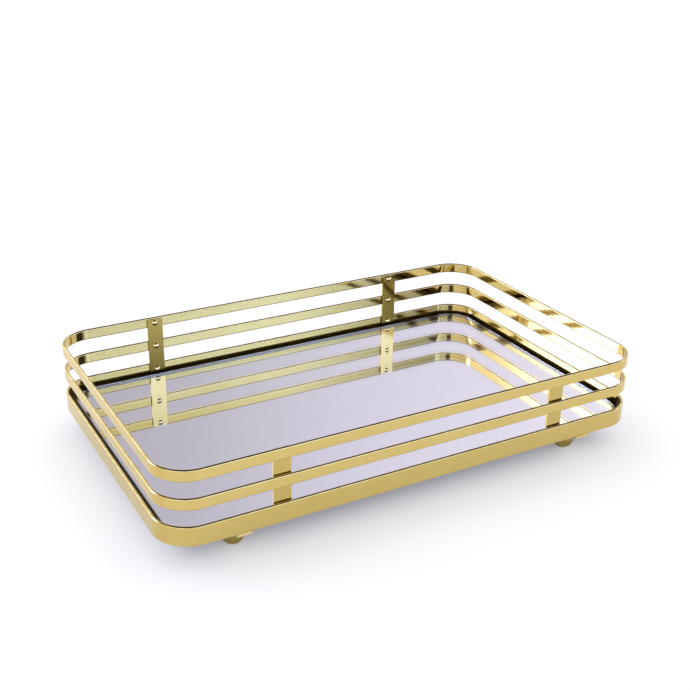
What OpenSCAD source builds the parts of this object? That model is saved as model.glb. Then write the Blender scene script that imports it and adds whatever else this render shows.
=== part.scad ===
// Gallery vanity tray: three closed strip bands riveted to four flat posts,
// a mirror glass on a black base panel, two cross bars and four ball feet.
// Origin: the centre of the underside, on the surface that the tray stands on.
// +X runs along the long side, +Y to the rear, +Z up.

/* [Overall] */
// Length over the outside of the bands
tray_length = 360; // [240:1:480]
// Width over the outside of the bands
tray_width = 228; // [160:1:320]
// Outer radius of the four corners
corner_radius = 25; // [16:1:40]

/* [Bands] */
// Thickness of the strip that all three bands are bent from
strip_thickness = 2; // [1.5:0.1:3]
// Radius on the strip's four long edges, at most just under half its thickness
strip_edge_radius = 0.7; // [0.2:0.05:1.4]
// Height of the bottom band
bottom_band_height = 13.5; // [10:0.5:20]
// Height of the middle and top bands
rail_height = 8; // [5:0.5:12]
// Open height between two neighbouring bands
rail_gap = 11; // [6:0.5:20]

/* [Posts and rivets] */
// Distance of each post's centre from the tray's nearer end
post_inset = 76; // [50:1:110]
// Width of a post
post_width = 12; // [8:0.5:16]
// Thickness of a post
post_thickness = 1.5; // [1:0.1:2]
// How far a post's upper end stays below the top band's upper edge
post_top_setback = 1; // [0:0.1:3]
// Radius on the post's two upper corners
post_corner_radius = 1.5; // [0.5:0.1:3]
// Open height between the foot of a post and the base panel
post_foot_clearance = 0.3; // [0.1:0.1:1]
// Diameter of a rivet's domed head
rivet_head_diameter = 4.6; // [3:0.1:6]
// Height of a rivet's domed head
rivet_head_height = 1.2; // [0.6:0.1:1.6]
// Diameter of a rivet's shank and of its hole in the post
rivet_shank_diameter = 2.4; // [1.6:0.1:2.8]
// Height of the lowest rivet above the bottom band's lower edge
bottom_rivet_height = 9; // [7:0.5:10]

/* [Mirror and base] */
// Thickness of the mirror glass
glass_thickness = 4; // [2:0.5:6]
// Open gap between the glass and the bands, all round
glass_gap = 4; // [3:0.1:8]
// Size of the bevel round the glass's upper edge
glass_bevel = 0.6; // [0.2:0.1:1]
// Thickness of the black base panel
panel_thickness = 1; // [0.6:0.1:2]
// How far the base panel is set in above the bottom band's lower edge
panel_recess = 1; // [0:0.1:2]
// Thickness of the adhesive tape under the glass
tape_thickness = 0.3; // [0.2:0.1:1]
// Width of the adhesive tape
tape_width = 18; // [8:1:25]
// Number of tape strips
tape_count = 4; // [2:1:6]
// Distance of the tape's ends from the glass's edge
tape_inset = 15; // [8:1:30]

/* [Cross bars and feet] */
// Distance of each cross bar's centre from the tray's nearer end
bar_inset = 50; // [46:1:70]
// Width of a cross bar
bar_width = 10; // [9:0.5:16]
// Thickness of a cross bar
bar_thickness = 2; // [1.8:0.1:3]
// How far a cross bar's ends stay inside the bands' outer face
bar_end_setback = 0.3; // [0:0.1:1]
// Distance of each foot's centre from the bands' outer face
foot_inset = 20; // [16:1:35]
// Diameter of the ball of a foot
ball_diameter = 15; // [12:0.5:22]
// Diameter of the neck between a ball and its cross bar
neck_diameter = 8; // [7:0.5:9]
// Height of the neck that shows above the ball
neck_height = 1.5; // [0.5:0.1:4]
// Diameter of the screw thread that holds a foot
screw_diameter = 3; // [2.5:0.5:4]
// Diameter of the screw's countersunk head
screw_head_diameter = 5.6; // [5:0.1:7]
// Length of the screw, head included
screw_length = 9; // [7:0.5:11]

/* [Hidden] */
$fn = 96;

// Heights of the joints between pieces, from the floor up
bar_z = ball_diameter + neck_height;
base_z = bar_z + bar_thickness;
panel_z = base_z + panel_recess;
tape_z = panel_z + panel_thickness;
glass_z = tape_z + tape_thickness;
middle_z = base_z + bottom_band_height + rail_gap;
top_z = middle_z + rail_height + rail_gap;
tray_height = top_z + rail_height;

// The edge radii leave a narrow flat on the strip's edges, and let the base panel's edge
// meet the flat of the band's inner face
least_flat = 0.1;
least_weld = 0.2;
edge_radius = min(strip_edge_radius,
                  (strip_thickness - least_flat) / 2,
                  panel_recess + panel_thickness - least_weld);

// Distances of the posts and cross bars from the middle of the tray
post_offset = tray_length / 2 - post_inset;
bar_offset = tray_length / 2 - bar_inset;

// The outline inside the bands, and the outline of the glass
inner_length = tray_length - 2 * strip_thickness;
inner_width = tray_width - 2 * strip_thickness;
inner_radius = corner_radius - strip_thickness;
glass_length = inner_length - 2 * glass_gap;
glass_width = inner_width - 2 * glass_gap;
glass_radius = inner_radius - glass_gap;

// Heights of the three rivets on a post
rivet_heights = [base_z + bottom_rivet_height,
                 middle_z + rail_height / 2,
                 top_z + rail_height / 2];
// The dome of a rivet is part of a sphere of this radius
rivet_sphere = (pow(rivet_head_diameter / 2, 2) + pow(rivet_head_height, 2)) / (2 * rivet_head_height);

gold = [0.86, 0.74, 0.45];
pale_gold = [0.90, 0.82, 0.55];
mirror_grey = [0.82, 0.82, 0.88];
eps = 0.01;

// A rectangle with round corners, centred on the origin
module rounded_rectangle(length, width, radius) {
    square([length - 2 * radius, width], center = true);
    square([length, width - 2 * radius], center = true);
    for (x = [-1, 1], y = [-1, 1])
        translate([x * (length / 2 - radius), y * (width / 2 - radius)])
            circle(r = radius);
}

// The strip's cross section, its inner face on x = 0 and its lower edge on y = 0
module strip_section(height) {
    translate([strip_thickness / 2, height / 2])
        rounded_rectangle(strip_thickness, height, edge_radius);
}

// One straight stretch of strip along X, its outer face at y = -reach
module straight_strip(length, reach, height) {
    translate([-length / 2, 0, 0])
        rotate([90, 0, 90])
            linear_extrude(height = length)
                translate([-reach, 0])
                    strip_section(height);
}

// A closed band: four straight stretches joined by four quarter bends
module band(height) {
    straight_x = tray_length - 2 * corner_radius;
    straight_y = tray_width - 2 * corner_radius;
    for (turn = [0, 180])
        rotate([0, 0, turn]) {
            straight_strip(straight_x, tray_width / 2, height);
            rotate([0, 0, 90])
                straight_strip(straight_y, tray_length / 2, height);
            translate([straight_x / 2, straight_y / 2, 0])
                corner_bend(height);
            mirror([1, 0, 0])
                translate([straight_x / 2, straight_y / 2, 0])
                    corner_bend(height);
        }
}

// A quarter bend of strip round the Z axis
module corner_bend(height) {
    rotate_extrude(angle = 90)
        translate([inner_radius, 0])
            strip_section(height);
}

module top_band() {
    color(gold) translate([0, 0, top_z]) band(rail_height);
}

module middle_band() {
    color(gold) translate([0, 0, middle_z]) band(rail_height);
}

module bottom_band() {
    color(gold) translate([0, 0, base_z]) band(bottom_band_height);
}

// Puts a piece made for the front, facing +Y, at one of the four posts
module at_post(side, end) {
    translate([side * post_offset, 0, 0])
        rotate([0, 0, end > 0 ? 180 : 0])
            translate([0, -inner_width / 2, 0])
                children();
}

// The outline of a post, upright: square at the foot, rounded at its upper corners
module post_outline(height) {
    r = post_corner_radius;
    translate([-post_width / 2, 0])
        square([post_width, height - r]);
    translate([-post_width / 2 + r, 0])
        square([post_width - 2 * r, height]);
    for (x = [-1, 1])
        translate([x * (post_width / 2 - r), height - r])
            circle(r = r);
}

// A flat post against the bands' inner face, drilled for its three rivets
module post(side, end) {
    foot_z = tape_z + post_foot_clearance;
    height = tray_height - post_top_setback - foot_z;
    color(pale_gold)
        at_post(side, end)
            difference() {
                translate([0, post_thickness, foot_z])
                    rotate([90, 0, 0])
                        linear_extrude(height = post_thickness)
                            post_outline(height);
                for (z = rivet_heights)
                    translate([0, post_thickness + eps, z])
                        rotate([90, 0, 0])
                            cylinder(d = rivet_shank_diameter, h = post_thickness + 2 * eps);
            }
}

module post_front_left() { post(-1, -1); }
module post_front_right() { post(1, -1); }
module post_rear_left() { post(-1, 1); }
module post_rear_right() { post(1, 1); }

// One rivet: a stud on the band's inner face, with a domed head over the post
module rivet() {
    dome_centre = rivet_head_height - rivet_sphere;
    rotate([-90, 0, 0]) {
        cylinder(d = rivet_shank_diameter, h = post_thickness + rivet_head_height / 4);
        translate([0, 0, post_thickness])
            intersection() {
                translate([0, 0, dome_centre])
                    sphere(r = rivet_sphere);
                cylinder(d = rivet_head_diameter, h = rivet_head_height + eps);
            }
    }
}

// The three rivets of one post
module rivets(side, end) {
    color(pale_gold)
        at_post(side, end)
            for (z = rivet_heights)
                translate([0, 0, z])
                    rivet();
}

module rivets_front_left() { rivets(-1, -1); }
module rivets_front_right() { rivets(1, -1); }
module rivets_rear_left() { rivets(-1, 1); }
module rivets_rear_right() { rivets(1, 1); }

// The black panel that closes the bottom band and carries the glass
module base_panel() {
    color([0.05, 0.05, 0.05])
        translate([0, 0, panel_z])
            linear_extrude(height = panel_thickness)
                rounded_rectangle(inner_length, inner_width, inner_radius);
}

// Strips of adhesive tape, spread evenly along the glass
module mirror_tape() {
    strip_length = glass_width - 2 * tape_inset;
    span = glass_length - 2 * tape_inset - tape_width;
    color([0.85, 0.83, 0.78])
        for (i = [0 : tape_count - 1])
            translate([-span / 2 + i * span / (tape_count - 1) - tape_width / 2, -strip_length / 2, tape_z])
                cube([tape_width, strip_length, tape_thickness]);
}

// The mirror glass, with a narrow bevel round its upper edge
module mirror_glass() {
    straight = glass_thickness - glass_bevel;
    color(mirror_grey)
        translate([0, 0, glass_z]) {
            linear_extrude(height = straight)
                rounded_rectangle(glass_length, glass_width, glass_radius);
            translate([0, 0, straight])
                bevelled_plate();
        }
}

// The upper slice of the glass: its four sides and four corners lean in by the bevel
module bevelled_plate() {
    b = glass_bevel;
    core_length = glass_length - 2 * glass_radius;
    core_width = glass_width - 2 * glass_radius;
    side = [[0, 0], [glass_radius, 0], [glass_radius - b, b], [0, b]];
    linear_extrude(height = b)
        square([core_length, core_width], center = true);
    for (turn = [0, 180])
        rotate([0, 0, turn]) {
            translate([core_length / 2, 0, 0])
                rotate([90, 0, 0])
                    linear_extrude(height = core_width, center = true)
                        polygon(side);
            translate([0, core_width / 2, 0])
                rotate([90, 0, 90])
                    linear_extrude(height = core_length, center = true)
                        polygon(side);
        }
    for (x = [-1, 1], y = [-1, 1])
        translate([x * core_length / 2, y * core_width / 2, 0])
            cylinder(r1 = glass_radius, r2 = glass_radius - b, h = b);
}

// A flat bar under the bottom band, countersunk for the screws of its two feet
module crossbar(side) {
    length = tray_width - 2 * bar_end_setback;
    color(gold)
        difference() {
            translate([side * bar_offset - bar_width / 2, -length / 2, bar_z])
                cube([bar_width, length, bar_thickness]);
            for (end = [-1, 1])
                at_foot(side, end)
                    screw_body();
        }
}

module crossbar_left() { crossbar(-1); }
module crossbar_right() { crossbar(1); }

// Moves a piece made on the Z axis to one of the four feet
module at_foot(side, end) {
    translate([side * bar_offset, end * (tray_width / 2 - foot_inset), 0])
        children();
}

// A countersunk screw, its flat head flush with the top of the cross bar
module screw_body() {
    head_height = (screw_head_diameter - screw_diameter) / 2;
    top = base_z;
    translate([0, 0, top - head_height])
        cylinder(d1 = screw_diameter, d2 = screw_head_diameter, h = head_height);
    translate([0, 0, top - screw_length])
        cylinder(d = screw_diameter, h = screw_length - head_height / 2);
}

// A ball foot with a short neck, bored from above for its screw
module foot(side, end) {
    radius = ball_diameter / 2;
    neck_sink = radius - sqrt(pow(radius, 2) - pow(neck_diameter / 2, 2));
    color(gold)
        at_foot(side, end)
            difference() {
                union() {
                    translate([0, 0, radius])
                        sphere(d = ball_diameter);
                    translate([0, 0, ball_diameter - neck_sink])
                        cylinder(d = neck_diameter, h = neck_height + neck_sink);
                }
                screw_body();
            }
}

module foot_front_left() { foot(-1, -1); }
module foot_front_right() { foot(1, -1); }
module foot_rear_left() { foot(-1, 1); }
module foot_rear_right() { foot(1, 1); }

module foot_screws() {
    color("silver")
        for (side = [-1, 1], end = [-1, 1])
            at_foot(side, end)
                screw_body();
}

top_band();
middle_band();
bottom_band();
post_front_left();
post_front_right();
post_rear_left();
post_rear_right();
rivets_front_left();
rivets_front_right();
rivets_rear_left();
rivets_rear_right();
base_panel();
mirror_tape();
mirror_glass();
crossbar_left();
crossbar_right();
foot_front_left();
foot_front_right();
foot_rear_left();
foot_rear_right();
foot_screws();
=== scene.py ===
# %% [markdown]
# # A gold gallery tray with a mirror floor
# The tray is three closed bands of flat strip, one above the other, riveted to four flat posts.
# A black panel closes the lowest band and carries a mirror glass. Two bars run across the
# underside, and a ball foot is screwed under each of their four ends.
# This lesson loads the engineering model first, because it fixes every size and place, and then
# makes a finer piece for each part that shows.

# %% Load the frame
import math

import bmesh
import bpy
from mathutils import Matrix, Vector


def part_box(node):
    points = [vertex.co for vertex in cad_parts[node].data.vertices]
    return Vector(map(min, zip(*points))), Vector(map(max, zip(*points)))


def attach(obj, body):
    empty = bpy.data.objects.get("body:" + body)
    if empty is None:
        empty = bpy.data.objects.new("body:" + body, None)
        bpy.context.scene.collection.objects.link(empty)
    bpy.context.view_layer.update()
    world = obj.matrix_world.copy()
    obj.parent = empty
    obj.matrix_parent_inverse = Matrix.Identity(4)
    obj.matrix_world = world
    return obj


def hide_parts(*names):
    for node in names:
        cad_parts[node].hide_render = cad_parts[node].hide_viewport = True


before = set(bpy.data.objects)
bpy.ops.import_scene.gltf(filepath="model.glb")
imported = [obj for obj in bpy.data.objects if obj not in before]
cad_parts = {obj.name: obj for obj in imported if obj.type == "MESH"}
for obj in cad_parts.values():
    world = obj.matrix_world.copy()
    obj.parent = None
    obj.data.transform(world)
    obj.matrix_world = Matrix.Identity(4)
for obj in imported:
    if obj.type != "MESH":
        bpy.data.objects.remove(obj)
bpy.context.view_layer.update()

# %% [markdown]
# ## Measuring the frame
# Each sheet-metal part could be measured by hand and typed in, but then a change of the
# engineering model would leave the looks behind. So the sizes are read from the boxes of the
# frame's own nodes, and only what a box can't tell, such as a bend radius, is written as a number.

# %% Sizes read from the frame
MM = 0.001
HAIR = 0.01 * MM            # slack for picking faces and edges by their place


def span(node):
    """The lowest and highest corner of one part, as two vectors"""
    low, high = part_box(node)
    return Vector(low), Vector(high)


band_low, band_high = span("bottom_band")
STRIP = 2.0 * MM            # thickness of the strip
CORNER = 25.0 * MM          # outer radius of the bends
print("bottom band, mm:", [round(v / MM, 2) for v in band_high - band_low])

# %% [markdown]
# ## Tools for the bench
# Modelling by operators needs three small habits: nothing else is selected, a finished piece
# sits at the origin with its place in its mesh, and faces are picked by where they are.

# %% Hold one piece
def clear_bench():
    """Back to object mode with nothing selected"""
    if bpy.context.mode != "OBJECT":
        bpy.ops.object.mode_set(mode="OBJECT")
    bpy.ops.object.select_all(action="DESELECT")


def only(piece):
    """Selects one piece and makes it the active one"""
    clear_bench()
    piece.select_set(True)
    bpy.context.view_layer.objects.active = piece


def named(name):
    """Names the object that an operator has just added"""
    piece = bpy.context.object
    piece.name = name
    piece.data.name = name
    return piece


def settle(piece):
    """Moves a piece's place, turn and scale into its mesh"""
    only(piece)
    bpy.ops.object.transform_apply(location=True, rotation=True, scale=True)
    return piece


print("parts in the frame:", len(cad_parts))


# %% Pick, extrude, modify and close
def pick(piece, kind, test):
    """In edit mode, selects the edges or faces that pass the test.

    The test gets an edge's two ends, or a face's centre and normal.
    """
    bpy.ops.mesh.select_mode(type=kind)
    bpy.ops.mesh.select_all(action="DESELECT")
    mesh = bmesh.from_edit_mesh(piece.data)
    if kind == "EDGE":
        hits = [edge for edge in mesh.edges if test(edge.verts[0].co, edge.verts[1].co)]
    else:
        hits = [face for face in mesh.faces if test(face.calc_center_median(), face.normal)]
    for part in hits:
        part.select_set(True)
    mesh.select_flush_mode()
    bmesh.update_edit_mesh(piece.data)


def extrude(vector):
    """Extrudes what is selected along a vector"""
    bpy.ops.mesh.extrude_region_move(TRANSFORM_OT_translate={"value": vector})


def modifier(piece, kind, **settings):
    """Adds a modifier, sets it and applies it"""
    only(piece)
    made = piece.modifiers.new(kind.title(), kind)
    for name, value in settings.items():
        setattr(made, name, value)
    bpy.ops.object.modifier_apply(modifier=made.name)


def close_up(piece):
    """Merges doubles, then turns all faces outwards"""
    only(piece)
    bpy.ops.object.mode_set(mode="EDIT")
    bpy.ops.mesh.select_all(action="SELECT")
    bpy.ops.mesh.remove_doubles(threshold=0.001 * MM)
    bpy.ops.mesh.normals_make_consistent(inside=False)
    bpy.ops.object.mode_set(mode="OBJECT")


# %% Shade a piece and hand it to the frame
def stands_for(piece, node):
    """Tells the frame what the piece replaces and what it rides on"""
    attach(piece, "root")
    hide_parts(node)


def flat_shading(piece, sharpest):
    """Smooth shading that keeps large faces flat; sharper edges than the angle stay sharp"""
    only(piece)
    bpy.ops.object.shade_smooth_by_angle(angle=math.radians(sharpest))
    modifier(piece, "WEIGHTED_NORMAL", mode="FACE_AREA", weight=50, keep_sharp=True)


def tally(piece):
    """Prints a piece's triangle count and its size"""
    triangles = sum(len(face.vertices) - 2 for face in piece.data.polygons)
    size = [round(v / MM, 2) for v in piece.dimensions]
    print(f"{piece.name}: {triangles} triangles, {size} mm")


# %% [markdown]
# ## The three bands
# On the real tray a band is flat strip with rolled, nearly half-round edges. It is bent round four
# corners, and its ends are butt-welded and polished away before plating. It could be swept along a
# curve, but a curve's corners and caps need care. Here the outline is a rectangle whose four
# vertices are bevelled into round corners, drawn up to the strip's height, given a wall inwards
# and rounded on its edges. Weighted normals keep the long flats flat up to the bends.

# %% Bend a band
STRIP_EDGE = 0.96 * MM      # radius rolled on the strip's long edges, nearly half round
CORNER_STEPS = 28
EDGE_STEPS = 6


def rounded_sheet(name, low, high, height, radius):
    """A flat sheet with round corners, in edit mode"""
    clear_bench()
    centre = (low + high) / 2
    bpy.ops.mesh.primitive_plane_add(size=1, location=(centre.x, centre.y, height))
    sheet = named(name)
    sheet.scale = (high.x - low.x, high.y - low.y, 1)
    settle(sheet)
    bpy.ops.object.mode_set(mode="EDIT")
    bpy.ops.mesh.select_all(action="SELECT")
    bpy.ops.mesh.bevel(offset=radius, offset_type="OFFSET", segments=CORNER_STEPS,
                       profile=0.5, affect="VERTICES", clamp_overlap=False)
    return sheet


def bend_band(node):
    """One closed band of strip in the place of its node"""
    low, high = span(node)
    band = rounded_sheet(node + "_strip", low, high, low.z, CORNER)
    bpy.ops.mesh.select_all(action="SELECT")
    extrude((0, 0, high.z - low.z))
    pick(band, "FACE", lambda centre, normal: abs(normal.z) > 0.5)
    bpy.ops.mesh.delete(type="FACE")
    close_up(band)
    modifier(band, "SOLIDIFY", thickness=STRIP, offset=-1, use_even_offset=True)
    modifier(band, "BEVEL", width=STRIP_EDGE, segments=EDGE_STEPS, limit_method="ANGLE",
             angle_limit=math.radians(40))
    flat_shading(band, 180)
    stands_for(band, node)
    tally(band)
    return band


# %% Bend all three and measure a corner
bands = {node: bend_band(node) for node in ("bottom_band", "middle_band", "top_band")}
corner_centre = Vector((band_high.x - CORNER, band_high.y - CORNER, 0))
reach = [(v.co.xy - corner_centre.xy).length / MM for v in bands["top_band"].data.vertices
         if v.co.x > corner_centre.x and v.co.y > corner_centre.y]
print("corner radii of the top band, mm:", round(min(reach), 2), "to", round(max(reach), 2))

# %% [markdown]
# ## The posts
# A post is a short flat bar with two clipped and rounded upper corners, drilled three times. It
# stands inside the bands and ties them together. It could be cut from a plate in one go; here a
# block is placed and its corners are bevelled, and the holes are cut by a boolean, because then
# each rivet's shank really passes through metal.

# %% Where the rivets go
post_low, post_high = span("post_front_left")
rivet_low, rivet_high = span("rivets_front_left")
rivet_heights = [(span(node)[0].z + span(node)[1].z) / 2 for node in ("middle_band", "top_band")]
rivet_heights.insert(0, rivet_low.z + (rivet_high.z - rivet_heights[1]))
print("rivets at heights, mm:", [round(z / MM, 2) for z in rivet_heights])

# %% Cut and drill a post
POST_CORNER = 1.5 * MM      # radius of its two upper corners
POST_BREAK = 0.15 * MM      # width of its broken edges
SHANK = 1.2 * MM            # radius of a rivet's shank and of its hole
DRILL = 8 * MM              # length of the drill, more than a post's thickness


def joined(pieces, name):
    """Several pieces made one"""
    clear_bench()
    for piece in pieces:
        piece.select_set(True)
    bpy.context.view_layer.objects.active = pieces[0]
    bpy.ops.object.join()
    return named(name)


def make_post(name, low, high):
    """A drilled flat post in the box between two corners"""
    clear_bench()
    centre = (low + high) / 2
    bpy.ops.mesh.primitive_cube_add(size=1, location=centre, scale=high - low)
    post = settle(named(name))
    bpy.ops.object.mode_set(mode="EDIT")
    top = high.z - HAIR
    pick(post, "EDGE", lambda a, b: a.z > top and b.z > top and abs(a.x - b.x) < HAIR)
    bpy.ops.mesh.bevel(offset=POST_CORNER, segments=8, affect="EDGES")
    bpy.ops.object.mode_set(mode="OBJECT")
    clear_bench()
    drills = []
    for z in rivet_heights:
        bpy.ops.mesh.primitive_cylinder_add(vertices=40, radius=SHANK, depth=DRILL,
                                            location=(centre.x, centre.y, z),
                                            rotation=(math.radians(90), 0, 0))
        drills.append(bpy.context.object)
    drill = joined(drills, "post_drill")
    modifier(post, "BOOLEAN", operation="DIFFERENCE", object=drill, solver="EXACT")
    only(drill)
    bpy.ops.object.delete()
    modifier(post, "BEVEL", width=POST_BREAK, segments=2, limit_method="ANGLE",
             angle_limit=math.radians(50))
    flat_shading(post, 50)
    return post


# %% Copy the post to its four places
def copy_of(piece, name, move=(0, 0, 0), turn=0.0):
    """A copy with its own mesh, turned about the vertical and moved, then settled"""
    only(piece)
    bpy.ops.object.duplicate(linked=False)
    twin = named(name)
    twin.rotation_euler = (0, 0, turn)
    twin.location = move
    return settle(twin)


post_front_left = make_post("post_front_left_plate", post_low, post_high)
posts = {"post_front_left": post_front_left}
for node in ("post_front_right", "post_rear_left", "post_rear_right"):
    shift = span(node)[0] - post_low
    posts[node] = copy_of(post_front_left, node + "_plate", move=shift)
for node, post in posts.items():
    stands_for(post, node)
    tally(post)

# %% [markdown]
# ## The rivets
# Each rivet has a low domed head on the inside of its post and a short stud that reaches the
# band. A lathe would turn it. Here the head is the cap of a ball, cut off with bisect, and
# the stud is drawn out of the flat side of the cap. One rivet is made and copied.

# %% Turn a rivet
HEAD_RADIUS = (rivet_high.x - rivet_low.x) / 2
HEAD_HEIGHT = 1.2 * MM      # height of the dome
POST_THICKNESS = post_high.y - post_low.y
ball_radius = (HEAD_RADIUS ** 2 + HEAD_HEIGHT ** 2) / (2 * HEAD_HEIGHT)
print("rivet heads are cut from a ball of radius, mm:", round(ball_radius / MM, 2))


def make_rivet(name, x, y, z):
    """One rivet whose head rests on the plane y and looks towards +Y"""
    clear_bench()
    bpy.ops.mesh.primitive_uv_sphere_add(segments=48, ring_count=48, radius=ball_radius,
                                         location=(x, y + HEAD_HEIGHT - ball_radius, z),
                                         rotation=(math.radians(90), 0, 0))
    rivet = settle(named(name))
    bpy.ops.object.mode_set(mode="EDIT")
    bpy.ops.mesh.select_all(action="SELECT")
    bpy.ops.mesh.bisect(plane_co=(x, y, z), plane_no=(0, -1, 0), use_fill=True, clear_outer=True)
    pick(rivet, "FACE", lambda centre, normal: normal.y < -0.9)
    bpy.ops.mesh.inset(thickness=HEAD_RADIUS - SHANK)
    extrude((0, -POST_THICKNESS, 0))
    close_up(rivet)
    only(rivet)
    bpy.ops.object.shade_smooth_by_angle(angle=math.radians(40))
    return rivet


# %% Set twelve rivets
def set_rivets(name):
    """The three rivets of the front left post, as one group"""
    x = (rivet_low.x + rivet_high.x) / 2
    row = [make_rivet(name + str(i), x, post_high.y, z) for i, z in enumerate(rivet_heights)]
    return joined(row, name)


rivets_front_left = set_rivets("rivets_front_left_heads")
rivets = {"rivets_front_left": rivets_front_left}
post_x = (post_low.x + post_high.x) / 2
rivets["rivets_front_right"] = copy_of(rivets_front_left, "rivets_front_right_heads",
                                       move=(-2 * post_x, 0, 0))
rivets["rivets_rear_right"] = copy_of(rivets_front_left, "rivets_rear_right_heads",
                                      turn=math.pi)
rivets["rivets_rear_left"] = copy_of(rivets["rivets_front_right"], "rivets_rear_left_heads",
                                     turn=math.pi)
for node, row in rivets.items():
    stands_for(row, node)
    tally(row)

# %% [markdown]
# ## The mirror glass
# The mirror is a 4 mm sheet of clear float glass, silvered underneath, with a narrow ground bevel
# round its top. One shiny block would show a single image. A real mirror shows the silver a
# little below its surface, and its polished side looks black, because light that enters there
# is led away inside the sheet. So the sheet gets a clear top, silver below and a ground bevel.
# The sides are clear as well, but the grinding belt has dulled them near both arrises, so that
# only the middle of the sheet still mirrors from inside.

# %% Cut the glass
glass_low, glass_high = span("mirror_glass")
GLASS_GAP = 4.0 * MM        # open gap between the glass and the bands
GLASS_BEVEL = 0.4 * MM      # width of the ground bevel
BACKING = 0.05 * MM         # paint under the silver, between it and the tape
LAID_OFF = Vector((1.0 * MM, 0, 0))     # the glass was laid a little nearer to the right end
glass_corner = CORNER - STRIP - GLASS_GAP
silver_z = glass_low.z + BACKING
glass = rounded_sheet("mirror_glass_sheet", glass_low + LAID_OFF, glass_high + LAID_OFF,
                      silver_z, glass_corner)
bpy.ops.object.mode_set(mode="OBJECT")
modifier(glass, "SOLIDIFY", thickness=glass_high.z - silver_z, offset=1)
close_up(glass)
only(glass)
bpy.ops.object.mode_set(mode="EDIT")
glass_top = glass_high.z - HAIR
pick(glass, "EDGE", lambda a, b: a.z > glass_top and b.z > glass_top)
bpy.ops.mesh.bevel(offset=GLASS_BEVEL, segments=1, affect="EDGES")
bpy.ops.object.mode_set(mode="OBJECT")
tally(glass)

# %% Sort the sheet's faces by finish
CLEAR, GROUND, SILVER, SIDE = range(4)


def glass_finish(upward):
    """The finish of a face, by how far its normal points up"""
    if upward < -0.9:
        return SILVER
    if abs(upward) < 0.1:
        return SIDE
    return GROUND if upward < 0.9 else CLEAR


for face in glass.data.polygons:
    face.material_index = glass_finish(face.normal.z)
only(glass)
bpy.ops.object.shade_smooth_by_angle(angle=math.radians(20))
stands_for(glass, "mirror_glass")
sorted_faces = [face.material_index for face in glass.data.polygons]
print("faces clear, ground, silvered and at the side:",
      [sorted_faces.count(kind) for kind in (CLEAR, GROUND, SILVER, SIDE)])

# %% [markdown]
# ## The cross bars
# A flat bar is welded under the bottom band near each end, countersunk from above for the
# screws of its two feet. A block is placed, its edges are broken, and the countersinks are cut
# with a cone and a drill.

# %% Cut a cross bar
bar_low, bar_high = span("crossbar_left")
foot_low, foot_high = span("foot_front_left")
foot_x = (foot_low.x + foot_high.x) / 2
foot_y = (foot_low.y + foot_high.y) / 2
THREAD = 1.5 * MM           # radius of the foot's screw
SCREW_HEAD = 2.8 * MM       # radius of its countersunk head
BAR_DRILL = 10 * MM         # length of the drill, more than a bar's thickness
BAR_BREAK = 0.3 * MM        # width of its broken edges


def make_bar(name, low, high):
    """A countersunk flat bar in the box between two corners"""
    clear_bench()
    bpy.ops.mesh.primitive_cube_add(size=1, location=(low + high) / 2, scale=high - low)
    bar = settle(named(name))
    tools = []
    sink = SCREW_HEAD - THREAD
    clear_bench()
    for y in (foot_y, -foot_y):
        bpy.ops.mesh.primitive_cylinder_add(vertices=40, radius=THREAD, depth=BAR_DRILL,
                                            location=(foot_x, y, low.z))
        tools.append(bpy.context.object)
        bpy.ops.mesh.primitive_cone_add(vertices=40, radius1=THREAD, radius2=SCREW_HEAD,
                                        depth=sink, location=(foot_x, y, high.z - sink / 2))
        tools.append(bpy.context.object)
    for tool in tools:
        modifier(bar, "BOOLEAN", operation="DIFFERENCE", object=tool, solver="EXACT")
    clear_bench()
    for tool in tools:
        tool.select_set(True)
    bpy.ops.object.delete()
    modifier(bar, "BEVEL", width=BAR_BREAK, segments=3, limit_method="ANGLE",
             angle_limit=math.radians(60))
    flat_shading(bar, 50)
    return bar


crossbar_left = make_bar("crossbar_left_flat", bar_low, bar_high)
crossbar_right = copy_of(crossbar_left, "crossbar_right_flat",
                         move=(span("crossbar_right")[0].x - bar_low.x, 0, 0))
stands_for(crossbar_left, "crossbar_left")
stands_for(crossbar_right, "crossbar_right")
tally(crossbar_left)

# %% [markdown]
# ## The ball feet
# A foot is a turned ball with a short neck, bored from above for its screw. It could be spun from
# its outline. A ball that is cut level, drawn up into a neck, filleted at the joint and bored
# by inset and extrude gives the same shape, and its parts keep their exact radii.

# %% Turn a foot
BALL = (foot_high.x - foot_low.x) / 2       # radius of the ball
NECK = 4.0 * MM             # radius of the neck
NECK_FILLET = 0.6 * MM      # width of the fillet between ball and neck
BORE_END = 9.5 * MM         # height of the bore's lower end
neck_cut = BALL + math.sqrt(BALL ** 2 - NECK ** 2)


def make_foot(name, x, y):
    """A ball foot on the floor at one place"""
    clear_bench()
    bpy.ops.mesh.primitive_uv_sphere_add(segments=64, ring_count=48, radius=BALL,
                                         location=(x, y, BALL))
    foot = settle(named(name))
    bpy.ops.object.mode_set(mode="EDIT")
    bpy.ops.mesh.select_all(action="SELECT")
    bpy.ops.mesh.bisect(plane_co=(x, y, neck_cut), plane_no=(0, 0, 1), use_fill=True,
                        clear_outer=True)
    pick(foot, "FACE", lambda centre, normal: centre.z > neck_cut - HAIR)
    extrude((0, 0, foot_high.z - neck_cut))
    bpy.ops.mesh.inset(thickness=NECK - THREAD)
    extrude((0, 0, BORE_END - foot_high.z))
    pick(foot, "EDGE", lambda a, b: abs(a.z - neck_cut) < HAIR and abs(b.z - neck_cut) < HAIR)
    bpy.ops.mesh.bevel(offset=NECK_FILLET, segments=5, affect="EDGES")
    close_up(foot)
    only(foot)
    bpy.ops.object.shade_smooth_by_angle(angle=math.radians(35))
    return foot


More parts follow.
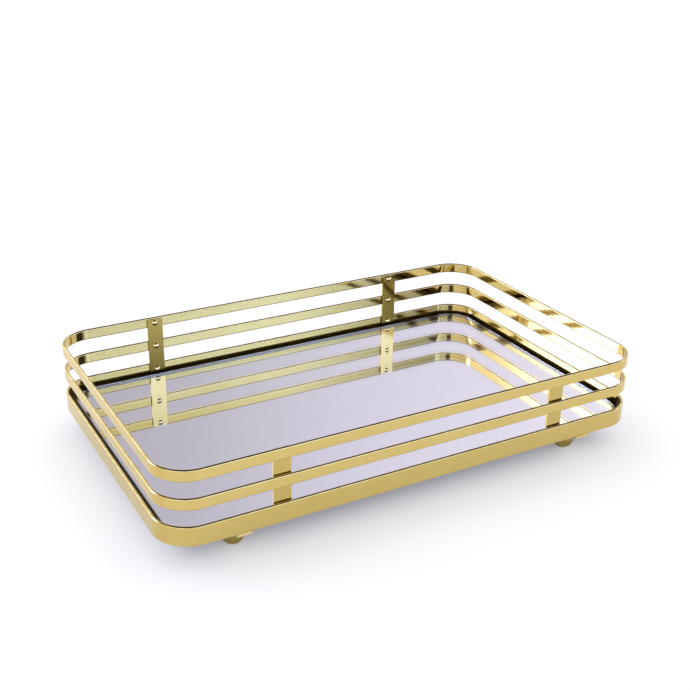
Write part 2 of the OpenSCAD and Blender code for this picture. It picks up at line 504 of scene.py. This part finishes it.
foot_front_left = make_foot("foot_front_left_ball", foot_x, foot_y)
feet = {"foot_front_left": foot_front_left}
for node in ("foot_front_right", "foot_rear_left", "foot_rear_right"):
    feet[node] = copy_of(foot_front_left, node + "_ball", move=span(node)[0] - foot_low)
for node, foot in feet.items():
    stands_for(foot, node)
    tally(foot)

# %% [markdown]
# ## Writing shaders as sums
# A finish is a network of nodes, which is slow to read as wires. So one small class wraps a
# socket, and adding or multiplying two of them adds the Math node. Every other node comes from
# one method that takes its type, its settings and its inputs.

# %% Sums of sockets
class Value:
    """One output socket, for use in ordinary sums"""

    def __init__(self, finish, socket):
        self.finish = finish
        self.socket = socket

    def math(self, operation, *values):
        """A Math node with one operation on some values"""
        return self.finish.node("Math", {"operation": operation}, dict(enumerate(values)))

    def __add__(self, other):
        return self.math("ADD", self, other)

    def __radd__(self, other):
        return self.math("ADD", other, self)

    def __sub__(self, other):
        return self.math("SUBTRACT", self, other)

    def __rsub__(self, other):
        return self.math("SUBTRACT", other, self)

    def __mul__(self, other):
        return self.math("MULTIPLY", self, other)

    def __rmul__(self, other):
        return self.math("MULTIPLY", other, self)

    def __truediv__(self, other):
        return self.math("DIVIDE", self, other)

    def __abs__(self):
        return self.math("ABSOLUTE", self)


# %% Every other node by one method
class Finish:
    """A node tree under construction"""

    def __init__(self, tree):
        self.tree = tree
        tree.nodes.clear()

    def node(self, kind, settings=None, inputs=None, output=0):
        """Adds a node: its settings first, then the values or links of its sockets"""
        made = self.tree.nodes.new("ShaderNode" + kind)
        for name, value in (settings or {}).items():
            if name == "stops":
                ramp = made.color_ramp.elements
                while len(ramp) < len(value):
                    ramp.new(1.0)
                for stop, (place, colour) in zip(ramp, value):
                    stop.position = place
                    stop.color = (*colour, 1.0)
            else:
                setattr(made, name, value)
        for name, value in (inputs or {}).items():
            if isinstance(value, Value):
                self.tree.links.new(value.socket, made.inputs[name])
            elif isinstance(value, tuple) and len(made.inputs[name].default_value) == 4:
                made.inputs[name].default_value = (*value, 1.0)
            else:
                made.inputs[name].default_value = value
        return Value(self, made.outputs[output]) if len(made.outputs) else None

    def mix(self, factor, first, second):
        """A colour between two colours"""
        return self.node("Mix", {"data_type": "RGBA"}, {0: factor, 6: first, 7: second}, 2)

    def smooth(self, value, start, end):
        """0 below start, 1 above end and an eased ramp between them"""
        return self.node("MapRange", {"interpolation_type": "SMOOTHSTEP"},
                         {"Value": value, "From Min": start, "From Max": end})

    def place(self, stretch=(1, 1, 1)):
        """Object coordinates, stretched"""
        spot = self.node("TexCoord", output="Object")
        return self.node("Mapping", None, {"Vector": spot, "Scale": Vector(stretch)})

    def part(self, vector, axis):
        """One number of a vector: 0, 1 or 2 for x, y or z"""
        return self.node("SeparateXYZ", None, {0: vector}, axis)

    def noise(self, where, scale, detail=2.0, rough=0.5):
        """Soft noise from 0 to 1; scale is in lumps per metre"""
        return self.node("TexNoise", None, {"Vector": where, "Scale": scale,
                                            "Detail": detail, "Roughness": rough})

    def bump(self, height, depth, under=None):
        """Turns a height map into a normal; depth is in metres"""
        inputs = {"Height": height, "Distance": depth, "Strength": 1.0}
        if under:
            inputs["Normal"] = under
        return self.node("Bump", None, inputs)


# %% Start and end a material
def new_finish(name):
    """A new material and its empty node tree"""
    material = bpy.data.materials.new(name)
    material.use_nodes = True
    return material, Finish(material.node_tree)


def surface(finish, **inputs):
    """The Principled shader, wired to the output"""
    named_inputs = {name.replace("_", " "): value for name, value in inputs.items()}
    shader = finish.node("BsdfPrincipled", None, named_inputs)
    finish.node("OutputMaterial", None, {"Surface": shader})


# %% [markdown]
# ## Gold plate
# The tray is steel strip with a thin coat of pale gold under a clear lacquer. Flat gold colour
# alone looks like paint. What makes it metal is the reflection, and what makes it real are its
# small faults: lines that run along the rolled strip, long soft waves from bending, a faint
# orange peel, cloudy wiping marks, and edges rubbed paler and brighter. How far each piece leans
# to the darker gold is painted shade for the dim, shadowed floor it mirrors, and the bends get
# soft stripes of painted reflection.

# %% Colours and marks of the plate
GOLD = (0.785, 0.618, 0.252)
GOLD_DEEP = (0.76, 0.575, 0.215)            # in the clouds of the coat
GOLD_RUBBED_AND_HIGHLIGHT = (0.90, 0.77, 0.42)            # on worn edges, and as a painted highlight on the rivets
GOLD_PAINTED_REFLECTION = (0.62, 0.42, 0.13)          # painted reflection: soft stripes in the bends
# painted shade: the darker gold of pieces that mirror a dim, shadowed floor
GOLD_PAINTED_SHADE = (0.50, 0.375, 0.10)
# painted shade: the brown that darkens the feet
GOLD_PAINTED_BROWN_SHADE = (0.12, 0.08, 0.015)
WAVE_DEPTH = 1.5e-5                         # depths of the bumps, in metres
CROWNED_WAVE_DEPTH = 1.0e-5
PEEL_DEPTH = 6.0e-8
print("golds:", GOLD, "to", GOLD_PAINTED_SHADE)


# %% A gold finish for one piece
def gold_plate(name, pale=0.0, gloss=0.04, lines=(7, 7, 420), line_depth=3.0e-7, edges=None,
               bends=None, crown=0.0, deep=0.0, painted_brown_shade=0.0):
    """Gold plate for one piece.

    pale: how far the coat is made paler, a painted highlight (used on the rivets); gloss:
    roughness of the clean coat; lines: stretch of the rolling lines along x, y and z;
    line_depth: their depth, in metres; edges: gives the mask of rubbed edges; bends: gives the
    mask of the stripes of painted reflection in the bends; crown: slope of a face that isn't
    quite plumb; deep: how far the coat leans to the darker gold, a painted shade;
    painted_brown_shade: how far the piece is darkened towards brown, a painted shade, more so
    in cloudy patches.
    """
    material, finish = new_finish(name)
    spot = finish.place()
    cloud = finish.noise(spot, 22.0, 3.0, 0.6)
    wipe = finish.noise(finish.place((1.0, 1.0, 3.0)), 70.0, 4.0, 0.62)
    rolled = finish.noise(finish.place(lines), 1.0, 3.0, 0.55)
    peel = finish.noise(spot, 900.0, 2.0, 0.5)
    waves = finish.noise(finish.place((1.0, 1.0, 0.4)), 26.0, 1.0, 0.4)

    tone = finish.mix(finish.smooth(cloud, 0.38, 0.66), GOLD_DEEP, GOLD)
    # pale, used on the rivets only, is a painted highlight: a paler coat
    tone = finish.mix(0.25 + 0.5 * pale, tone, GOLD)
    if pale:
        tone = finish.mix(0.5 * pale, tone, GOLD_RUBBED_AND_HIGHLIGHT)
    # painted shade: the darker gold of pieces that mirror a dim, shadowed floor
    if deep:
        tone = finish.mix(deep, tone, GOLD_PAINTED_SHADE)
    roughness = gloss + 0.05 * finish.smooth(wipe, 0.45, 0.75) + 0.02 * rolled
    if edges:
        rubbed = edges(finish) * finish.smooth(finish.noise(spot, 160.0, 3.0), 0.35, 0.6)
        tone = finish.mix(0.55 * rubbed, tone, GOLD_RUBBED_AND_HIGHLIGHT)
        roughness = roughness + 0.05 * rubbed
    # painted reflection: soft stripes in the bends
    if bends:
        tone = finish.mix(bends(finish), tone, GOLD_PAINTED_REFLECTION)
    # painted shade: the feet darkened towards brown, more in blotches
    if painted_brown_shade:
        shade_blotches = finish.smooth(finish.noise(spot, 160.0, 3.0), 0.35, 0.6)
        tone = finish.mix(painted_brown_shade * (0.75 + 0.25 * shade_blotches), tone, GOLD_PAINTED_BROWN_SHADE)
    if crown:
        normal = finish.bump(finish.part(spot, 2) * crown, 1.0)
        normal = finish.bump(waves, CROWNED_WAVE_DEPTH, normal)
    else:
        normal = finish.bump(waves, WAVE_DEPTH)
    normal = finish.bump(rolled, line_depth, normal)
    normal = finish.bump(peel, PEEL_DEPTH, normal)
    surface(finish, Base_Color=tone, Metallic=1.0, Roughness=roughness, Normal=normal)
    return material


# %% Where a band is rubbed, and its painted reflections in the bends
# Stripes of painted reflection in a bend: where each starts, is full, starts to fade and ends,
# in degrees round the bend, and its strength
BEND_STRIPES = ((18, 25, 31, 38, 0.42), (58, 68, 74, 84, 0.26))
BEND_START = 0.5 * MM       # length over which the stripes come up past the straight


def end_zone(low, high, start, full):
    """The mask of two zones: it rises from start to full, both in from the ends low and high"""
    middle = (low + high) / 2
    half = (high - low) / 2

    def mask(finish):
        away = abs(finish.part(finish.place(), 2) - middle)
        return finish.smooth(away, half - start, half - full)
    return mask


def bend_marks(finish):
    """Two soft upright stripes of painted reflection in each bend"""
    spot = finish.place()
    x, y = (abs(finish.part(spot, axis)) - corner_centre[axis] for axis in (0, 1))
    turn = y.math("ARCTAN2", y, x) * math.degrees(1)
    first, second = (strength * (finish.smooth(turn, start, full)
                                 - finish.smooth(turn, fading, end))
                     for start, full, fading, end, strength in BEND_STRIPES)
    in_bend = finish.smooth(x, 0.0, BEND_START) * finish.smooth(y, 0.0, BEND_START)
    return in_bend * (first + second)


print("bend stripes, degrees:", [stripe[:4] for stripe in BEND_STRIPES])


# %% Dress the bands
def dress(piece, *materials):
    """Gives a piece its materials in slot order; each face keeps its slot"""
    slots = [face.material_index for face in piece.data.polygons]
    piece.data.materials.clear()
    for material in materials:
        piece.data.materials.append(material)
    for face, slot in zip(piece.data.polygons, slots):
        face.material_index = min(slot, len(materials) - 1)


# How far each band leans to the darker gold, a painted shade: the bottom band mirrors the most
# shadowed floor
BAND_PAINTED_SHADE = {"bottom_band": 0.62, "middle_band": 0.44, "top_band": 0.46}
for node, band in bands.items():
    low, high = span(node)
    rubbed = end_zone(low.z, high.z, start=1.0 * MM, full=0.2 * MM)
    gold = gold_plate("gold plate " + node.replace("_", " "), deep=BAND_PAINTED_SHADE[node],
                      edges=rubbed, bends=bend_marks)
    dress(band, gold)
    print(gold.name, "has", len(gold.node_tree.nodes), "nodes")

# %% [markdown]
# ## Gold on the posts, rivets, bars and feet
# The small parts are plated in the same bath, so they share the recipe. A post is brushed
# along its height, a bar along its length, and a foot and a rivet are polished round. A foot
# is rubbed where it touches the shelf, and a post at its ends. The rivet heads are made paler,
# a painted highlight; the posts are darker gold, a painted shade; and the feet are darkened
# towards brown in blotches, a painted shade for the dark things the balls mirror.

# %% The small gold parts
def foot_sole(finish):
    """The mask of the rubbed sole: full up to 0.3 mm over the shelf, gone at 1.6 mm"""
    return 1 - finish.smooth(finish.part(finish.place(), 2), 0.3 * MM, 1.6 * MM)


post_ends = end_zone(post_low.z, post_high.z, start=1.2 * MM, full=0.0)
# deep on the posts is painted shade for the dim floor they mirror
post_gold = gold_plate("gold plate post", gloss=0.06, lines=(420, 420, 9), line_depth=2.0e-7,
                       edges=post_ends, crown=0.096, deep=0.7)
# pale on the rivets is a painted highlight: their heads made paler than the posts
rivet_gold = gold_plate("gold plate rivet", pale=0.9, gloss=0.04, lines=(90, 90, 90),
                        line_depth=1.0e-7)
bar_gold = gold_plate("gold plate bar", gloss=0.16, lines=(420, 7, 420), line_depth=1.0e-6)
# the feet's darker, browner gold is painted shade for the dark things the balls mirror
foot_gold = gold_plate("gold plate foot", gloss=0.05, lines=(30, 30, 500), line_depth=4.0e-7,
                       edges=foot_sole, deep=0.85, painted_brown_shade=0.55)
for gold, pieces in ((post_gold, posts.values()), (rivet_gold, rivets.values()),
                     (bar_gold, (crossbar_left, crossbar_right)), (foot_gold, feet.values())):
    for piece in pieces:
        dress(piece, gold)
    print(gold.name, "on", len(pieces), "pieces")

# %% [markdown]
# ## The mirror's four finishes
# Clear glass lets nearly all light through and adds a weak second image at its surface. The
# silver under it does the real mirroring. The bevel was ground with a diamond wheel, so it
# scatters and looks a dull green-grey. The side is clear in its middle and matt towards both
# arrises, so it takes two shaders and a mask between them.

# %% Clear glass and silver
GLASS_INDEX = 1.5
GLASS_CLEAR = (0.985, 0.99, 0.995)


def clear_glass():
    """The top: smears and specks of dust on a slightly wavy face"""
    material, finish = new_finish("mirror clear glass")
    spot = finish.place()
    smear = finish.smooth(finish.noise(spot, 14.0, 4.0, 0.6), 0.52, 0.8)
    specks = finish.smooth(finish.noise(spot, 700.0, 1.0), 0.74, 0.8)
    ripple = finish.noise(finish.place((1.0, 0.5, 1.0)), 9.0, 1.0)
    surface(finish, Base_Color=finish.mix(0.5 * specks, GLASS_CLEAR, (0.8, 0.8, 0.8)),
            Roughness=0.006, IOR=GLASS_INDEX, Transmission_Weight=1.0,
            Normal=finish.bump(smear, 4.0e-7, finish.bump(ripple, 2.0e-6)))
    return material


def silvering():
    """The silver, faintly cloudy"""
    material, finish = new_finish("mirror silver")
    cloud = finish.noise(finish.place(), 30.0, 3.0)
    surface(finish, Base_Color=finish.mix(cloud, (0.90, 0.89, 0.93), (0.93, 0.92, 0.955)),
            Metallic=1.0, Roughness=0.01 + 0.004 * cloud)
    return material


# %% Ground bevel and seamed side
def ground_bevel():
    """The bevel: grain and streaks of the wheel"""
    material, finish = new_finish("mirror ground bevel")
    grain = finish.noise(finish.place(), 2500.0, 2.0)
    streak = finish.noise(finish.place((40, 40, 1600)), 1.0, 2.0)
    surface(finish, Base_Color=finish.mix(streak, (0.22, 0.25, 0.25), (0.42, 0.44, 0.45)),
            Roughness=0.32 + 0.2 * grain, IOR=GLASS_INDEX, Normal=finish.bump(grain, 4.0e-6))
    return material


def seamed_side():
    """The sheet's side: dulled near both arrises, clear in its middle"""
    material, finish = new_finish("mirror seamed side")
    height = finish.part(finish.place(), 2)
    middle = (glass_low.z + glass_high.z) / 2
    worn = finish.noise(finish.place((60, 60, 900)), 1.0, 2.0)
    dulled = finish.smooth(abs(height - middle) + 0.2 * MM * worn, 0.25 * MM, 0.5 * MM)
    shaders = [finish.node("BsdfPrincipled", None, inputs) for inputs in (
        {"Base Color": finish.mix(worn, (0.95, 0.97, 0.97), GLASS_CLEAR),
         "Roughness": 0.02, "IOR": GLASS_INDEX, "Transmission Weight": 1.0},
        {"Base Color": finish.mix(worn, (0.20, 0.175, 0.16), (0.32, 0.29, 0.275)),
         "Roughness": 0.5, "Normal": finish.bump(worn, 4.0e-6)})]
    both = finish.node("MixShader", None, {0: dulled, 1: shaders[0], 2: shaders[1]})
    finish.node("OutputMaterial", None, {"Surface": both})
    return material


dress(glass, clear_glass(), ground_bevel(), silvering(), seamed_side())
print("glass:", [material.name for material in glass.data.materials])

# %% [markdown]
# ## The black panel, the tape and the screws
# These three come straight from the engineering model, because a flat panel, tape strips and
# countersunk heads need no finer shape. The panel is steel with satin black stove enamel, the
# tape is white foam, and the screws are zinc-plated.

# %% Dress the parts that keep their shape
def black_enamel():
    """Satin black, with dust in soft drifts"""
    material, finish = new_finish("black enamel")
    spot = finish.place()
    peel = finish.noise(spot, 600.0, 2.0)
    dust = finish.smooth(finish.noise(spot, 45.0, 5.0, 0.7), 0.55, 0.85)
    black = finish.mix(0.35 * dust, (0.012, 0.012, 0.013), (0.09, 0.088, 0.085))
    surface(finish, Base_Color=black, Roughness=0.34 + 0.22 * dust,
            Normal=finish.bump(peel, 6.0e-6))
    return material


def foam_tape():
    """White foam with open cells"""
    material, finish = new_finish("foam tape")
    cells = finish.noise(finish.place(), 1800.0, 3.0)
    surface(finish, Base_Color=finish.mix(cells, (0.62, 0.61, 0.56), (0.82, 0.81, 0.77)),
            Roughness=0.85, Normal=finish.bump(cells, 4.0e-5))
    return material


def zinc():
    """Zinc plate with a fine spangle"""
    material, finish = new_finish("zinc plate")
    spangle = finish.noise(finish.place(), 800.0, 3.0)
    surface(finish, Base_Color=finish.mix(spangle, (0.52, 0.53, 0.55), (0.70, 0.70, 0.71)),
            Metallic=1.0, Roughness=0.30 + 0.15 * spangle, Normal=finish.bump(spangle, 4.0e-6))
    return material


for node, material in (("base_panel", black_enamel()), ("mirror_tape", foam_tape()),
                       ("foot_screws", zinc())):
    dress(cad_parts[node], material)
    print(node, "is dressed in", material.name)

# %% [markdown]
# ## Floor and light
# Polished metal shows its surroundings, so the light is built as a tent of pale cloth round
# the tray. Its high part is dark, which draws a thin dark line along every rounded edge. Soft
# panels stand round the tray: a bright one behind on the left, a grey one behind on the right,
# and a cool one in front on the right, with a dark gap at each front corner. In front, the
# horizon is bright, and the tent is tinted a little higher up, where only the posts mirror it.
# The floor is pale and glows a little by itself, which keeps the shadow shallow; under the tray
# the glow is halved, a painted shadow. A wide soft light from above lights the floor, and the
# metal doesn't mirror it.

# %% The floor
FLOOR_PALE = (0.632, 0.627, 0.625)
FLOOR_GLOW = (0.396, 0.386, 0.374)
UNDER_FULL, UNDER_GONE = 30 * MM, 8 * MM    # painted shadow under the tray: full this far in from the tray's sides, and gone at this
FLOOR_SIDE = 30                             # m


def pale_floor():
    """A pale matt floor with its own glow, halved under the tray as a painted shadow"""
    material, finish = new_finish("floor white")
    spot = finish.place()
    painted_shadow_under_tray = [1 - finish.smooth(abs(finish.part(spot, axis)), band_high[axis] - UNDER_FULL,
                                band_high[axis] - UNDER_GONE) for axis in (0, 1)]
    # halving the glow under the tray paints a shadow there
    glow = finish.mix(0.5 * (painted_shadow_under_tray[0] * painted_shadow_under_tray[1]), FLOOR_GLOW, (0, 0, 0))
    surface(finish, Base_Color=FLOOR_PALE, Roughness=0.9, Specular_IOR_Level=0.0,
            Emission_Color=glow, Emission_Strength=1.0)
    return material


clear_bench()
bpy.ops.mesh.primitive_plane_add(size=FLOOR_SIDE, location=(0, 0, 0))
floor = named("floor")
dress(floor, pale_floor())
print("floor, m:", [round(v, 1) for v in floor.dimensions])

# %% Colours of the tent
WHITE = (1.0, 1.0, 1.0)
DARK = (0.035, 0.033, 0.030)                # the high part
SOFTBOX = (3.3, 3.9, 6.4)                   # behind on the left
COOL = (1.30, 1.64, 2.58)                   # in front on the right
FRONT = (0.80, 0.95, 1.20)
GAP_LEFT, GAP_RIGHT = (0.10, 0.09, 0.08), (0.05, 0.045, 0.04)
HORIZON = (1.96, 2.3, 4.3)                  # low in front
SHADE = (0.85, 0.73, 0.42)                  # tint in front, above the bands' reflections
# Colour of the tent's wall round the tray, in degrees: front (-180), left, rear (0) and right
WALL = [(-180, FRONT), (-163, (0.80, 0.92, 1.10)), (-158, GAP_LEFT), (-144, GAP_LEFT),
        (-139, (1.10, 1.10, 1.10)), (-62, WHITE), (-58, SOFTBOX), (-41, SOFTBOX),
        (-38, (1.6, 1.6, 1.58)), (-2, (1.5, 1.48, 1.42)), (6, (0.62, 0.60, 0.62)),
        (14, (0.50, 0.48, 0.53)), (20, (0.56, 0.54, 0.60)), (30, (0.74, 0.71, 0.80)),
        (42, (0.88, 0.85, 0.94)), (55, (0.95, 0.94, 0.98)), (112, WHITE), (118, GAP_RIGHT),
        (140, GAP_RIGHT), (148, (0.66, 0.80, 1.05)), (154, COOL), (179, FRONT)]
# Heights in degrees over the horizon between which one part of the tent goes over to the next
HORIZON_ENDS = 12.0, 20.0
SHADE_STARTS = 25.0, 29.0
DARK_STARTS = 36.0, 43.0
DARK_LOWER_IN_FRONT = 5
print("stops in the wall:", len(WALL))


# %% The tent
def studio_tent(world):
    """Fills the world's tree: a wall by direction, then what changes with height"""
    finish = Finish(world.node_tree)
    direction = finish.node("TexCoord", output="Generated")
    x, y, z = (finish.part(direction, axis) for axis in range(3))
    turn = x.math("ARCTAN2", x, y)
    rise = z.math("ARCSINE", z) * math.degrees(1)
    stops = [((degrees + 180) / 360, colour) for degrees, colour in WALL]
    wall = finish.node("ValToRGB", {"stops": stops}, {0: turn / (2 * math.pi) + 0.5})
    front = finish.smooth(0 - y, 0.1, 0.4)
    tent = finish.mix(front * (1 - finish.smooth(rise, *HORIZON_ENDS)), wall, HORIZON)
    tent = finish.node("Mix", {"data_type": "RGBA", "blend_type": "MULTIPLY"},
                       {0: front * finish.smooth(rise, *SHADE_STARTS), 6: tent, 7: SHADE}, 2)
    dark = finish.smooth(rise + DARK_LOWER_IN_FRONT * front, *DARK_STARTS)
    tent = finish.mix(dark, tent, DARK)
    glow = finish.node("Background", None, {"Color": tent, "Strength": 1.0})
    finish.node("OutputWorld", None, {"Surface": glow})


world = bpy.data.worlds.new("studio tent")
world.use_nodes = True
studio_tent(world)
scene = bpy.context.scene
scene.world = world
print("tent has", len(world.node_tree.nodes), "nodes")

# %% The soft light from above
OVERHEAD_WIDTH = 120        # degrees
OVERHEAD_STRENGTH = 2.0
clear_bench()
bpy.ops.object.light_add(type="SUN", location=(0, 0, 2), rotation=(0.0, 0.0, 0.0))
overhead = bpy.context.object
overhead.name = "overhead soft light"
overhead.data.angle = math.radians(OVERHEAD_WIDTH)
overhead.data.energy = OVERHEAD_STRENGTH
overhead.visible_glossy = False
overhead.visible_transmission = False
print(overhead.name, "is", round(math.degrees(overhead.data.angle)), "degrees wide")

# %% [markdown]
# ## The camera
# A normal lens looks down on the front left corner from shoulder height. The back of the camera
# stays a little more upright than the view, by a small vertical shift, so the posts stay nearly
# parallel. The colours are shown as they are, without a film curve, so that white stays white.

# %% Place the camera
CAMERA_AT = Vector((-0.3488, -0.6265, 0.3904))
HEADING, TILT, ROLL = 29.10, 21.46, 0.69    # degrees: to the right, down, and of roll
LENS, SENSOR = 56.74, 36.0                  # mm
SHIFT = -0.072                              # vertical, as a part of the picture's width


def camera_turn(heading, tilt, roll):
    """The turn of a camera that looks along a heading, tilted down and then rolled"""
    heading, tilt, roll = (math.radians(v) for v in (heading, tilt, roll))
    forward = Vector((math.sin(heading) * math.cos(tilt), math.cos(heading) * math.cos(tilt),
                      -math.sin(tilt)))
    right = Vector((math.cos(heading), -math.sin(heading), 0.0))
    up = right.cross(forward)
    across = math.cos(roll) * right + math.sin(roll) * up
    upward = math.cos(roll) * up - math.sin(roll) * right
    return Matrix((across, upward, -forward)).transposed().to_euler()


clear_bench()
camera_data = bpy.data.cameras.new("camera")
camera_data.lens = LENS
camera_data.sensor_width = SENSOR
camera_data.shift_y = SHIFT
camera_data.clip_end = 100.0
camera = bpy.data.objects.new("camera", camera_data)
camera.location = CAMERA_AT
camera.rotation_euler = camera_turn(HEADING, TILT, ROLL)
scene.collection.objects.link(camera)
scene.camera = camera
print("camera to the tray's middle, mm:", round(CAMERA_AT.length / MM))

# %% Show the colours as they are
scene.view_settings.view_transform = "Standard"
scene.view_settings.look = "None"
print("view:", scene.view_settings.view_transform)
